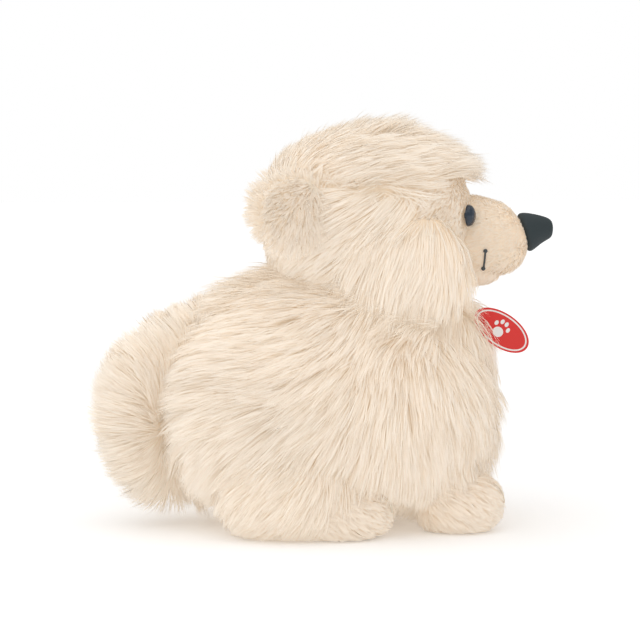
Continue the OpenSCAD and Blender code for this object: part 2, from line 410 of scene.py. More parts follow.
def cut(mesh, planes):
    """A copy of the mesh, with what is in front of each plane (point, direction) cut away."""
    bm = bmesh.new()
    bm.from_mesh(mesh)
    for point, direction in planes:
        geometry = bm.verts[:] + bm.edges[:] + bm.faces[:]
        bmesh.ops.bisect_plane(
            bm, geom=geometry, dist=1e-6, plane_co=point, plane_no=direction, clear_outer=True
        )
    bm.normal_update()
    return made(bm, "panel")


def ringed_disc(bm, segments, insets):
    """Adds a disc of radius 1, with a ring of faces for each inset and a fan in its middle."""
    bmesh.ops.create_circle(bm, cap_ends=True, segments=segments, radius=1)
    for inset in insets:
        faces = [f for f in bm.faces if len(f.verts) > 4]
        bmesh.ops.inset_region(bm, faces=faces, thickness=inset)
    bmesh.ops.poke(bm, faces=[f for f in bm.faces if len(f.verts) > 4])


def at_height(z):
    return Vector((0, 0, z))


def inwards(side, y=0):
    """The plane that cuts away what is nearer the middle than y, on one side."""
    return Vector((0, side * y, 0)), Vector((0, -side, 0))


def strip_edges(half):
    """The two planes that leave a strip of that half width along the middle."""
    return [(Vector((0, side * half, 0)), Vector((0, side, 0))) for side in (LEFT, RIGHT)]


def thickened(mesh, thickness):
    """The sheet with a second face on its inside, closed round its rim."""
    obj = new_object("sheet", mesh)
    wall = obj.modifiers.new("wall", "SOLIDIFY")
    wall.thickness = thickness
    wall.offset = -1
    wall.use_rim = True
    closed = baked_mesh(obj)
    bpy.data.objects.remove(obj)
    return closed


# ---------------------------------------------------------------- pile


def unit(v):
    return v / np.maximum(np.linalg.norm(v, axis=-1, keepdims=True), 1e-12)


def ease(a, b, x):
    """0 at a and 1 at b, smoothly between; a may be the larger."""
    t = np.clip((x - a) / (b - a), 0, 1)
    return t * t * (3 - 2 * t)


def hump(away, width):
    """1 where away is 0, falling to 0 over about that width."""
    away = away / width
    return np.exp(-away * away)


def away_from(points, place):
    """How far each point is from a place."""
    return np.linalg.norm(points - np.array(place), axis=1)


def ripple(points, size, seed):
    """A smooth field from -1 to 1 that changes over about that size."""
    rng = np.random.default_rng(seed)
    waves = rng.normal(0, 1 / size, (6, 3))
    starts = rng.uniform(0, 2 * math.pi, 6)
    return np.sin(points @ waves.T + starts).sum(1) / 3


def roots(mesh, count, rng):
    """Random places on the mesh, evenly spread, with the surface's direction there."""
    mesh.calc_loop_triangles()
    triangles = np.empty(len(mesh.loop_triangles) * 3, np.int32)
    mesh.loop_triangles.foreach_get("vertices", triangles)
    triangles = triangles.reshape(-1, 3)
    co = coords(mesh)
    normals = np.empty(len(mesh.vertices) * 3)
    mesh.vertices.foreach_get("normal", normals)
    normals = normals.reshape(-1, 3)
    a, b, c = (co[triangles[:, i]] for i in range(3))
    area = np.linalg.norm(np.cross(b - a, c - a), axis=1) / 2
    chosen = rng.choice(len(triangles), count, p=area / area.sum())
    u, v = rng.random((2, count))
    flip = u + v > 1
    u[flip], v[flip] = 1 - u[flip], 1 - v[flip]
    w = np.stack([1 - u - v, u, v], 1)[:, :, None]
    places = (co[triangles[chosen]] * w).sum(1)
    return places, unit((normals[triangles[chosen]] * w).sum(1))


def mesh_area(mesh):
    return sum(p.area for p in mesh.polygons)


class Pile:
    """How the pile of a panel grows: its length, comb, lift, width and how it gathers into locks."""

    def __init__(
        self, long, comb, lift, per_cm2, width, steps=4, seed=1, where=None, vary=None,
        stray=8, lock=11, bundle=130, gather=0.55, bunch=0.3, sag=0.0, floor=0.5 * MM
    ):
        self.long = long
        self.comb = comb
        self.lift = lift
        self.per_cm2 = per_cm2
        self.width = width
        self.steps = steps
        self.seed = seed
        self.where = where
        self.vary = vary
        self.stray = stray
        self.lock = lock
        self.bundle = bundle
        self.gather = gather
        self.bunch = bunch
        self.sag = sag
        self.floor = floor


def nearest(points, guides):
    """For each point, the index of the closest guide."""
    tree = KDTree(len(guides))
    for i, g in enumerate(guides):
        tree.insert(g, i)
    tree.balance()
    return np.array([tree.find(p)[1] for p in points])


def lines(place, normal, pile, rng):
    """The points along each strand, from root to tip."""
    count = len(place)
    comb = pile.comb(place, normal)
    comb = unit(comb - normal * (comb * normal).sum(1, keepdims=True))
    cross = np.cross(normal, comb)
    wander = np.radians(rng.normal(0, pile.stray, count) + 9 * ripple(place, 9 * MM, pile.seed))[:, None]
    comb = comb * np.cos(wander) + cross * np.sin(wander)
    reach = pile.long * rng.uniform(0.5, 1.12, count) * (1 + 0.14 * ripple(place, 13 * MM, pile.seed + 3))
    if pile.vary:
        reach = reach * pile.vary(place, normal)
    tilt = rng.normal(0, pile.stray * 0.8, count) + 7 * ripple(place, 11 * MM, pile.seed + 7)
    points = [place]
    for step in range(pile.steps):
        share = (step + 0.5) / pile.steps
        rise = np.radians(pile.lift[0] + (pile.lift[1] - pile.lift[0]) * share + tilt)[:, None]
        direction = comb * np.cos(rise) + normal * np.sin(rise)
        direction[:, 2] -= pile.sag * share
        points.append(points[-1] + unit(direction) * (reach / pile.steps)[:, None])
    return np.stack(points, 1)


def gathered(line, every, pull, keep):
    """Draws the strands together into locks, more towards their tips."""
    leaders = max(1, len(line) // every)
    leader = nearest(line[:, 0], line[:leaders, 0])
    share = np.linspace(0, 1, line.shape[1])[None, :, None]
    offset = (line[:, :1] - line[leader][:, :1]) * (1 - (1 - keep) * share)
    return line + (line[leader] + offset - line) * pull * share ** 0.8


def grown(mesh, pile):
    """Every strand's points and its surface direction, gathered into locks."""
    rng = np.random.default_rng(pile.seed)
    count = int(mesh_area(mesh) * 1e4 * pile.per_cm2)
    place, normal = roots(mesh, count, rng)
    if pile.where:
        keep = pile.where(place, normal)
        place, normal = place[keep], normal[keep]
    line = lines(place, normal, pile, rng)
    line = gathered(line, pile.bundle, pile.bunch, 0.7)
    line = gathered(line, pile.lock, pile.gather, 0.45)
    ground = pile.floor + 1.5 * MM * rng.random(len(line))[:, None]
    line[:, 1:, 2] = np.maximum(line[:, 1:, 2], ground)
    line[:, 1:, 1] = np.clip(line[:, 1:, 1], -SIDE_ROOM, SIDE_ROOM)
    return line, normal, rng


def ribbons(line, normal, width, rng, seed):
    """Points, faces, normals and map places of one thin tapered ribbon for each strand."""
    count, rings = line.shape[:2]
    steps = rings - 1
    along = unit(np.gradient(line, axis=1))
    face = unit(normal + 0.25 * rng.normal(0, 1, normal.shape))[:, None]
    side = unit(np.cross(along, face))
    roll = np.radians(rng.uniform(-50, 50, count))[:, None, None]
    side = side * np.cos(roll) + np.cross(side, along) * np.sin(roll)
    facing = unit(np.cross(side, along))
    share = np.linspace(0, 1, rings)[None, :, None]
    half = width / 2 * rng.uniform(0.75, 1.2, count)[:, None, None] * (1 - 0.5 * share)
    left = (line - side * half)[:, :steps]
    right = (line + side * half)[:, :steps]
    points = np.concatenate([left, right, line[:, steps:]], 1)
    soft = unit(normal[:, None] + 0.18 * facing)
    normals = np.concatenate([soft[:, :steps], soft[:, :steps], soft[:, steps:]], 1)
    tone = 0.5 + 0.17 * rng.normal(0, 1, count) + 0.16 * ripple(line[:, 0], 14 * MM, seed)
    tone = np.clip(tone, 0.04, 0.96)[:, None]
    heights = np.linspace(0.03, 0.97, rings)
    u = np.concatenate([np.repeat(tone - 0.02, steps, 1), np.repeat(tone + 0.02, steps, 1), tone], 1)
    v = np.broadcast_to(np.concatenate([heights[:steps], heights[:steps], heights[steps:]]), u.shape)
    size = 2 * steps + 1
    quads = [corner for j in range(steps - 1) for corner in (j, steps + j, steps + j + 1, j + 1)]
    tip = [steps - 1, 2 * steps - 1, 2 * steps]
    pattern = np.array(quads + tip, np.int32)
    lengths = np.array([4] * (steps - 1) + [3], np.int32)
    loops = (pattern[None] + size * np.arange(count)[:, None]).ravel()
    return {
        "points": points.reshape(-1, 3),
        "normals": normals.reshape(-1, 3),
        "uv": np.stack([u, v], 2).reshape(-1, 2),
        "loops": loops.astype(np.int32),
        "lengths": np.tile(lengths, count),
    }


def cloth_parts(mesh):
    """The cloth's own points, faces and normals."""
    loops = np.empty(len(mesh.loops), np.int32)
    mesh.loops.foreach_get("vertex_index", loops)
    lengths = np.empty(len(mesh.polygons), np.int32)
    mesh.polygons.foreach_get("loop_total", lengths)
    normals = np.empty(len(mesh.vertices) * 3)
    mesh.vertices.foreach_get("normal", normals)
    return {"points": coords(mesh), "normals": normals.reshape(-1, 3), "loops": loops, "lengths": lengths}


def plush_mesh(name, cloth, hair):
    """One mesh of a panel's cloth and its strands."""
    mesh = bpy.data.meshes.new(name)
    base = len(cloth["points"])
    points = np.concatenate([cloth["points"], hair["points"]])
    normals = np.concatenate([cloth["normals"], hair["normals"]])
    loops = np.concatenate([cloth["loops"], hair["loops"] + base])
    lengths = np.concatenate([cloth["lengths"], hair["lengths"]])
    starts = np.concatenate([[0], np.cumsum(lengths)[:-1]]).astype(np.int32)
    mesh.vertices.add(len(points))
    mesh.vertices.foreach_set("co", points.ravel())
    mesh.loops.add(len(loops))
    mesh.loops.foreach_set("vertex_index", loops)
    mesh.polygons.add(len(lengths))
    mesh.polygons.foreach_set("loop_start", starts)
    mesh.update(calc_edges=True)
    # The cloth takes the root colour, which is painted shade deep in the pile.
    corner = np.arange(len(cloth["loops"]))
    root_uv = np.stack([0.46 + 0.05 * (corner % 2), 0.006 + 0.02 * (corner // 2 % 2)], 1)
    uv = np.concatenate([root_uv, hair["uv"][hair["loops"]]])
    layer = mesh.uv_layers.new(name=PILE_UV)
    layer.data.foreach_set("uv", uv.ravel())
    mesh.polygons.foreach_set("use_smooth", np.ones(len(lengths), bool))
    mesh.normals_split_custom_set_from_vertices(normals)
    return mesh


def plush(part, body, slot, panel, pile, material, nodes=None):
    """Makes a plush panel from its sheet of cloth and its pile, and puts it in the place of its node."""
    name = part + "_plush"
    nodes = [part] if nodes is None else nodes
    line, normal, rng = grown(panel, pile)
    hair = ribbons(line, normal, pile.width, rng, pile.seed)
    cloth = cloth_parts(thickened(panel, bpy.context.scene.plush_pile.cloth))
    obj = placed(name, plush_mesh(name, cloth, hair), material, body, slot, *nodes)


# ---------------------------------------------------------------- combs


def steady(p, x, y, z):
    """One direction for every point; y is outwards."""
    return np.stack([np.full(len(p), x), y * np.sign(p[:, 1]), np.full(len(p), z)], 1)


def comb_torso(p, n):
    """Down at the shoulder, slanting back along the flank and straight back over the rump."""
    shoulder, rump = 48 * MM, -38 * MM
    belly, ridge = 40 * MM, 78 * MM
    slant = ease(shoulder, rump, p[:, 0]) * (46 + 40 * ease(belly, ridge, p[:, 2]))
    slant = np.radians(slant + (84 - slant) * ease(0.55, 0.95, n[:, 2]))
    return np.stack([-np.sin(slant), np.zeros(len(p)), -np.cos(slant)], 1)


def comb_down(p, n):
    """Straight down, and a little outwards."""
    return steady(p, -0.1, 0.12, -1.0)


def comb_head(p, n):
    """Back over the temple, turning down over the cheek: a fan from a point above the brow."""
    fan_x, fan_rise = 68 * MM, 30 * MM
    return np.stack([p[:, 0] - fan_x, np.zeros(len(p)), p[:, 2] - EYE_Z - fan_rise], 1)


def comb_ruff(p, n):
    """Down, opening to the front and more to the back."""
    front = span("cheek_ruff_left")[1].x
    return np.stack([(p[:, 0] - front) * 18 + 0.16, 0.1 * np.sign(p[:, 1]), np.full(len(p), -1.0)], 1)


def comb_crown(p, n):
    """Forward over the brow, back over the nape and a little to the sides."""
    forward = p[:, 0] + 14 * MM
    return np.stack([forward, 0.35 * p[:, 1], 8 * MM + 0.2 * np.abs(forward)], 1)


def comb_tail(p, n):
    """Out from the tail and up along its upper half, down along its lower half."""
    low, high = span(*TAIL_NODES)
    z = (p[:, 2] - (low.z + high.z) / 2) / (high.z - low.z)
    return np.stack([1.5 * np.maximum(n[:, 0], 0) - 0.75, 0.3 * n[:, 1], 0.3 + 2.2 * z], 1)


def comb_paw(p, n):
    """Forward over the toes, and down."""
    return steady(p, 1.0, 0.0, -0.55)


def comb_muzzle(p, n):
    """Back from the nose."""
    return steady(p, -1.0, 0.0, -0.25)


def comb_mask(p, n):
    """Back and down from the eye."""
    return steady(p, -0.7, 0.3, -0.55)


def comb_from(centre, lean):
    """Away from a middle point, leaning one way."""
    return lambda p, n: p - np.array(centre) + np.array(lean)


# ---------------------------------------------------------------- materials


def node_group(name, inputs, outputs):
    """A new shader group with named sockets; returns the group and its two ends."""
    group = bpy.data.node_groups.new(name, "ShaderNodeTree")
    for socket, kind in inputs:
        group.interface.new_socket(socket, in_out="INPUT", socket_type=kind)
    for socket, kind in outputs:
        group.interface.new_socket(socket, in_out="OUTPUT", socket_type=kind)
    return group, group.nodes.new("NodeGroupInput"), group.nodes.new("NodeGroupOutput")


def mix_colour(tree, blend="MIX"):
    node = tree.nodes.new("ShaderNodeMix")
    node.data_type = "RGBA"
    node.blend_type = blend
    return node


def math_node(tree, operation, a=None, b=None):
    node = tree.nodes.new("ShaderNodeMath")
    node.operation = operation
    for i, value in enumerate((a, b)):
        if value is None:
            continue
        if isinstance(value, (int, float)):
            node.inputs[i].default_value = value
        else:
            tree.links.new(value, node.inputs[i])
    return node.outputs[0]


def pile_group():
    """Colour along a strand: Root at the cloth, Tip at the end, and each strand a shade of its own. The
    darker, warmer Root colour is painted shade deep in the pile.
    """
    if "plush_pile" in bpy.data.node_groups:
        return bpy.data.node_groups["plush_pile"]
    group, start, end = node_group(
        "plush_pile",
        [("Root", "NodeSocketColor"), ("Tip", "NodeSocketColor"), ("Contrast", "NodeSocketFloat")],
        [("Color", "NodeSocketColor")],
    )
    place = group.nodes.new("ShaderNodeUVMap")
    place.uv_map = PILE_UV
    split = group.nodes.new("ShaderNodeSeparateXYZ")
    group.links.new(place.outputs["UV"], split.inputs[0])
    along = math_node(group, "POWER", split.outputs["Y"], 0.62)
    shade = mix_colour(group)
    group.links.new(along, shade.inputs["Factor"])
    group.links.new(start.outputs["Root"], shade.inputs["A"])
    group.links.new(start.outputs["Tip"], shade.inputs["B"])
    away = math_node(group, "SUBTRACT", split.outputs["X"], 0.5)
    scaled = math_node(group, "MULTIPLY", away, start.outputs["Contrast"])
    value = math_node(group, "ADD", scaled, 1.0)
    tone = group.nodes.new("ShaderNodeHueSaturation")
    group.links.new(shade.outputs["Result"], tone.inputs["Color"])
    group.links.new(value, tone.inputs["Value"])
    group.links.new(math_node(group, "SUBTRACT", 1.0, scaled), tone.inputs["Saturation"])
    group.links.new(tone.outputs["Color"], end.inputs["Color"])
    return group


def toned(group, start, end, away):
    """Color is Base, lighter where away is above 0 and darker where it is below, by Contrast."""
    scaled = math_node(group, "MULTIPLY", away, start.outputs["Contrast"])
    tone = group.nodes.new("ShaderNodeHueSaturation")
    group.links.new(start.outputs["Base"], tone.inputs["Color"])
    group.links.new(math_node(group, "ADD", scaled, 1.0), tone.inputs["Value"])
    group.links.new(tone.outputs["Color"], end.inputs["Color"])


def weave_group():
    """A plain weave: Color changes a little from thread to thread, and Height is the threads' relief."""
    if "plush_weave" in bpy.data.node_groups:
        return bpy.data.node_groups["plush_weave"]
    group, start, end = node_group(
        "plush_weave",
        [("Base", "NodeSocketColor"), ("Threads", "NodeSocketFloat"), ("Contrast", "NodeSocketFloat")],
        [("Color", "NodeSocketColor"), ("Height", "NodeSocketFloat")],
    )
    place = group.nodes.new("ShaderNodeTexCoord")
    waves = []
    for direction in ("X", "Y"):
        wave = group.nodes.new("ShaderNodeTexWave")
        wave.bands_direction = direction
        wave.wave_profile = "SIN"
        wave.inputs["Distortion"].default_value = 0.6
        wave.inputs["Detail"].default_value = 1
        group.links.new(place.outputs["Object"], wave.inputs["Vector"])
        group.links.new(start.outputs["Threads"], wave.inputs["Scale"])
        waves.append(wave.outputs["Fac"])
    height = math_node(group, "MULTIPLY", waves[0], waves[1])
    noise = group.nodes.new("ShaderNodeTexNoise")
    noise.inputs["Scale"].default_value = 120
    group.links.new(place.outputs["Object"], noise.inputs["Vector"])
    both = math_node(group, "ADD", height, noise.outputs["Fac"])
    toned(group, start, end, math_node(group, "SUBTRACT", both, 0.75))
    group.links.new(height, end.inputs["Height"])
    return group


def fibre_group():
    """Loose fibres or nap: Color is mottled, and Height is a fine fibrous relief."""
    if "plush_fibre" in bpy.data.node_groups:
        return bpy.data.node_groups["plush_fibre"]
    group, start, end = node_group(
        "plush_fibre",
        [("Base", "NodeSocketColor"), ("Size", "NodeSocketFloat"), ("Contrast", "NodeSocketFloat")],
        [("Color", "NodeSocketColor"), ("Height", "NodeSocketFloat")],
    )
    place = group.nodes.new("ShaderNodeTexCoord")
    noise = group.nodes.new("ShaderNodeTexNoise")
    noise.inputs["Detail"].default_value = 6
    noise.inputs["Roughness"].default_value = 0.7
    noise.inputs["Distortion"].default_value = 1.4
    group.links.new(place.outputs["Object"], noise.inputs["Vector"])
    group.links.new(start.outputs["Size"], noise.inputs["Scale"])
    toned(group, start, end, math_node(group, "SUBTRACT", noise.outputs["Fac"], 0.5))
    group.links.new(noise.outputs["Fac"], end.inputs["Height"])
    return group


def shader(name, roughness, **fixed):
    """A new material with its Principled shader, or None for the shader if the material is there."""
    if name in bpy.data.materials:
        return bpy.data.materials[name], None
    material = bpy.data.materials.new(name)
    material.use_nodes = True
    principled = material.node_tree.nodes["Principled BSDF"]
    principled.inputs["Roughness"].default_value = roughness
    for socket, value in fixed.items():
        principled.inputs[socket.replace("_", " ")].default_value = value
    return material, principled


def pile_material(name, root, tip, contrast=0.10):
    material, principled = shader(name, 0.85, Sheen_Weight=0.25, Sheen_Roughness=0.5)
    if principled is None:
        return material
    principled.inputs["Specular IOR Level"].default_value = 0.25
    # Painted light: the pile's colour also feeds its emission, so the pile glows in place of light scattered
    # among the fibres.
    principled.inputs["Emission Strength"].default_value = PILE_GLOW
    tree = material.node_tree
    pile = tree.nodes.new("ShaderNodeGroup")
    pile.node_tree = pile_group()
    pile.inputs["Root"].default_value = (*root, 1)
    pile.inputs["Tip"].default_value = (*tip, 1)
    pile.inputs["Contrast"].default_value = contrast
    tree.links.new(pile.outputs["Color"], principled.inputs["Base Color"])
    tree.links.new(pile.outputs["Color"], principled.inputs["Emission Color"])
    return material


def relief_material(name, group, colour_name, size, contrast, bump, roughness, **fixed):
    """A material whose colour and relief come from a weave or fibre group."""
    material, principled = shader(name, roughness, **fixed)
    if principled is None:
        return material
    tree = material.node_tree
    effect = tree.nodes.new("ShaderNodeGroup")
    effect.node_tree = group
    base = getattr(bpy.context.scene.plush_colours, colour_name)
    effect.inputs["Base"].default_value = (*base, 1)
    effect.inputs[1].default_value = size
    effect.inputs["Contrast"].default_value = contrast
    tree.links.new(effect.outputs["Color"], principled.inputs["Base Color"])
    relief = tree.nodes.new("ShaderNodeBump")
    relief.inputs["Strength"].default_value = 0.6
    relief.inputs["Distance"].default_value = bump
    tree.links.new(effect.outputs["Height"], relief.inputs["Height"])
    tree.links.new(relief.outputs["Normal"], principled.inputs["Normal"])
    return material


def long_pile():
    c = bpy.context.scene.plush_colours
    return pile_material("long_pile", c.long_root_painted_shade, c.long_tip)


def short_pile():
    c = bpy.context.scene.plush_colours
    return pile_material("short_pile", c.short_root_painted_shade, c.short_tip, 0.08)


def sole_cloth():
    return relief_material("sole_cloth", weave_group(), "sole", 420, 0.12, 0.2 * MM, 0.9, Sheen_Weight=0.3)


def fibre_filling():
    return relief_material(
        "fibre_filling", fibre_group(), "filling", 260, 0.25, 1.2 * MM, 0.95, Sheen_Weight=0.4
    )


def pouch_cloth():
    return relief_material("pouch_cloth", weave_group(), "pouch", 500, 0.15, 0.15 * MM, 0.9)


def pellet_plastic():
    return relief_material("pellet_plastic", fibre_group(), "pellets", 420, 0.4, 1.5 * MM, 0.35)


def seam_thread():
    return relief_material("seam_thread", weave_group(), "seam_thread", 900, 0.25, 0.1 * MM, 0.7)


def mouth_thread():
    return relief_material("mouth_thread", weave_group(), "mouth_thread", 900, 0.5, 0.15 * MM, 0.6)


def satin():
    return relief_material("satin", weave_group(), "satin", 900, 0.06, 0.05 * MM, 0.32)


def nose_velour():
    return relief_material(
        "nose_velour", fibre_group(), "nose", 1500, 1.1, 0.35 * MM, 0.95, Sheen_Weight=0.02,
        Sheen_Roughness=0.4, Specular_IOR_Level=0.05
    )


def eye_plastic():
    return relief_material(
        "eye_plastic", fibre_group(), "eye", 60, 0.2, 0.01 * MM, 0.06, Coat_Weight=1.0, Coat_Roughness=0.02
    )


def washer_plastic():
    return relief_material("washer_plastic", fibre_group(), "washer", 180, 0.08, 0.05 * MM, 0.45)


def label_weave():
    """Red weave with a pale border and a paw print, placed by the label's own map."""
    colours = bpy.context.scene.plush_colours
    material, principled = shader("label_weave", 0.62, Sheen_Weight=0.15)
    if principled is None:
        return material
    tree = material.node_tree
    place = tree.nodes.new("ShaderNodeUVMap")
    place.uv_map = PILE_UV
    split = tree.nodes.new("ShaderNodeSeparateXYZ")
    tree.links.new(place.outputs["UV"], split.inputs[0])

    def oval(x, y, rx, ry):
        across = math_node(tree, "DIVIDE", math_node(tree, "SUBTRACT", split.outputs["X"], x), rx)
        along = math_node(tree, "DIVIDE", math_node(tree, "SUBTRACT", split.outputs["Y"], y), ry)
        squares = [math_node(tree, "MULTIPLY", share, share) for share in (across, along)]
        return math_node(tree, "LESS_THAN", math_node(tree, "ADD", *squares), 1.0)

    paw = oval(0.46, 0.40, 0.085, 0.15)
    for x, y in ((0.36, 0.60), (0.43, 0.72), (0.51, 0.72), (0.58, 0.60)):
        paw = math_node(tree, "MAXIMUM", paw, oval(x, y, 0.030, 0.075))
    outer = oval(0.5, 0.5, 0.46, 0.45)
    inner = oval(0.5, 0.5, 0.435, 0.405)
    border = math_node(tree, "SUBTRACT", outer, inner)
    mark = math_node(tree, "MAXIMUM", paw, border)
    ribs = tree.nodes.new("ShaderNodeTexWave")
    ribs.bands_direction = "X"
    ribs.inputs["Scale"].default_value = 22
    ribs.inputs["Distortion"].default_value = 0.4
    tree.links.new(place.outputs["UV"], ribs.inputs["Vector"])
    ground = mix_colour(tree)
    ground.inputs["A"].default_value = (*[c * 0.8 for c in colours.label], 1)
    ground.inputs["B"].default_value = (*colours.label, 1)
    tree.links.new(ribs.outputs["Fac"], ground.inputs["Factor"])
    marked = mix_colour(tree)
    tree.links.new(mark, marked.inputs["Factor"])
    tree.links.new(ground.outputs["Result"], marked.inputs["A"])
    marked.inputs["B"].default_value = (*colours.motif, 1)
    tree.links.new(marked.outputs["Result"], principled.inputs["Base Color"])
    relief = tree.nodes.new("ShaderNodeBump")
    relief.inputs["Strength"].default_value = 0.5
    relief.inputs["Distance"].default_value = 0.15 * MM
    tree.links.new(math_node(tree, "ADD", ribs.outputs["Fac"], mark), relief.inputs["Height"])
    tree.links.new(relief.outputs["Normal"], principled.inputs["Normal"])
    return material


def finish_nodes(make, *names):
    """Gives frame nodes that stay as they are their material."""
    material = make()
    for name in names:
        mesh = NODES[name].data
        mesh.materials.clear()
        mesh.materials.append(material)


def cloth_patch(node):
    """A flat oval patch with a soft rounded edge, in the place of its node."""
    low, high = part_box(node)
    name = node + "_cloth"
    bm = bmesh.new()
    bmesh.ops.create_cone(bm, cap_ends=True, segments=40, radius1=1, radius2=1, depth=1)
    bmesh.ops.scale(bm, vec=(high - low) / 2, verts=bm.verts)
    bmesh.ops.scale(bm, vec=(1, 1, 2), verts=bm.verts)
    bmesh.ops.translate(bm, vec=middle(node), verts=bm.verts)
    rims = [e for e in bm.edges if abs(e.verts[0].co.z - e.verts[1].co.z) < 1e-6]
    bmesh.ops.bevel(bm, geom=rims, offset=0.6 * MM, segments=3, affect="EDGES", profile=0.5, material=-1)
    obj = placed(name, made(bm, name), sole_cloth(), "torso", "sole_cloth", node)


# ---------------------------------------------------------------- operators


class PlushOperator:
    """What the operators share."""

    bl_options = {"REGISTER", "UNDO"}


class OBJECT_OT_plush_torso(PlushOperator, bpy.types.Operator):
    """Make the two flanks and the belly strip of the torso"""

    bl_idname = "object.plush_torso"
    bl_label = "Torso"

    def execute(self, context):
        pile = context.scene.plush_pile
        core = stuffed("torso_core", [torso_egg(-1.6 * MM), shoulder_egg()], voxel=4.5 * MM)
        low, high = span("belly_gusset")
        floor = at_height(low.z)
        strip = high.y
        bib = bib_egg()
        between = (span("rear_paw_left")[1].x + span("front_paw_left")[0].x) / 2
        for name, side in SIDES:
            haunch = mirrored(haunch_egg(), side)
            panel = cut(core, [(floor, -UP), inwards(side)])

            def beside(p, n):
                """Where no belly strip, haunch or bib lies over the flank."""
                clear = (np.abs(p[:, 1]) > strip) | (p[:, 2] > 20 * MM)
                return clear & (haunch.depth(p) > 0.95) & (bib.depth(p) > 0.95)

            def flank_length(p, n):
                """Shorter near the floor and over the gap between the paws, fuller along the back."""
                parting = 1 - 0.6 * hump(p[:, 0] - between, 11 * MM) * ease(46 * MM, 18 * MM, p[:, 2])
                full = 0.78 + 0.22 * ease(8 * MM, 40 * MM, p[:, 2]) + 0.1 * ease(0.5, 1, n[:, 2])
                return full * parting

            growth = Pile(
                pile.flank, comb_torso, (42, 2), 146, pile.strand, steps=3, seed=11 + side, sag=0.12,
                where=beside, vary=flank_length
            )
            node = "torso_side_" + name
            plush(node, "torso", "long_pile_cream", panel, growth, long_pile())
        ceiling = at_height(30 * MM)
        panel = cut(core, [(floor, -UP), (ceiling, UP), *strip_edges(strip)])
        growth = Pile(pile.belly, comb_torso, (30, 0), 60, pile.strand, steps=3, seed=15)
        plush("belly_gusset", "torso", "medium_pile_cream", panel, growth, long_pile())
        return {"FINISHED"}


class OBJECT_OT_plush_chest(PlushOperator, bpy.types.Operator):
    """Make the chest bib, the haunches and the front legs"""

    bl_idname = "object.plush_chest"
    bl_label = "Chest, haunches and legs"

    def execute(self, context):
        pile = context.scene.plush_pile
        torso = torso_egg(-4 * MM)

        def outside(p, n):
            return torso.depth(p) > 1

        def over_label(p, n):
            """Longer round the sewn end of the label."""
            return 1 + 0.35 * hump(away_from(p, hinge("label_flap")), 16 * MM)

        core = stuffed("chest_core", [bib_egg()])
        growth = Pile(
            pile.chest, comb_down, (30, -6), 165, pile.strand, steps=3, seed=21, sag=0.35, where=outside,
            vary=over_label
        )
        plush("chest_bib", "torso", "long_pile_cream", core, growth, long_pile())
        for name, side in SIDES:
            core = stuffed("haunch_core", [mirrored(haunch_egg(), side)])
            panel = cut(core, [(at_height(0.5 * MM), -UP)])
            growth = Pile(
                pile.haunch, comb_torso, (28, -6), 165, pile.strand, steps=3, seed=25 + side, sag=0.2,
                where=outside, vary=lambda p, n: 0.5 + 0.5 * ease(3 * MM, 32 * MM, p[:, 2])
            )
            node = "haunch_" + name
            plush(node, "torso", "long_pile_cream", panel, growth, long_pile())
            core = stuffed("leg_core", [mirrored(leg_egg(), side)])
            growth = Pile(
                pile.chest * 0.62, comb_down, (24, -4), 140, pile.strand, seed=28 + side, where=outside,
                sag=0.3
            )
            node = "front_leg_" + name
            plush(node, "torso", "medium_pile_cream", core, growth, long_pile())
        return {"FINISHED"}


class OBJECT_OT_plush_paws(PlushOperator, bpy.types.Operator):
    """Make the four paws and their soles"""

    bl_idname = "object.plush_paws"
    bl_label = "Paws"

    def execute(self, context):
        pile = context.scene.plush_pile
        torso = torso_egg(-6 * MM)
        sole_top = at_height(1.9 * MM)

        def outside(p, n):
            return torso.depth(p) > 1

        for kind, egg, grooves in (("front", front_paw_egg(), (-5, 5)), ("rear", rear_paw_egg(), (4, 9))):
            for name, side in SIDES:
                form = mirrored(egg, side)

                def toes(bm):
                    for v in bm.verts:
                        ahead = ease(0.15, 0.7, (v.co.x - form.centre.x) / form.front)
                        for y in grooves:
                            away = (v.co.y - form.centre.y - side * y * MM) / (1.6 * MM)
                            v.co += (form.centre - v.co) * 0.065 * ahead * math.exp(-away * away)

                def shorter_ahead(p, n):
                    return 1 - 0.6 * ease(-0.1, 0.9, (p[:, 0] - form.centre.x) / form.front)

                core = stuffed("paw_core", [form], voxel=3 * MM, cap=1.2 * MM, shape=toes)
                panel = cut(core, [(sole_top, -UP)])
                growth = Pile(
                    pile.paw, comb_paw, (40, -5), 240, pile.hair * 1.25, steps=3, seed=31 + side, lock=9,
                    bundle=60, sag=0.1, where=outside, vary=shorter_ahead
                )
                node = kind + "_paw_" + name
                plush(node, "torso", "medium_pile_cream", panel, growth, short_pile())
                cloth_patch(kind + "_sole_" + name)
        return {"FINISHED"}


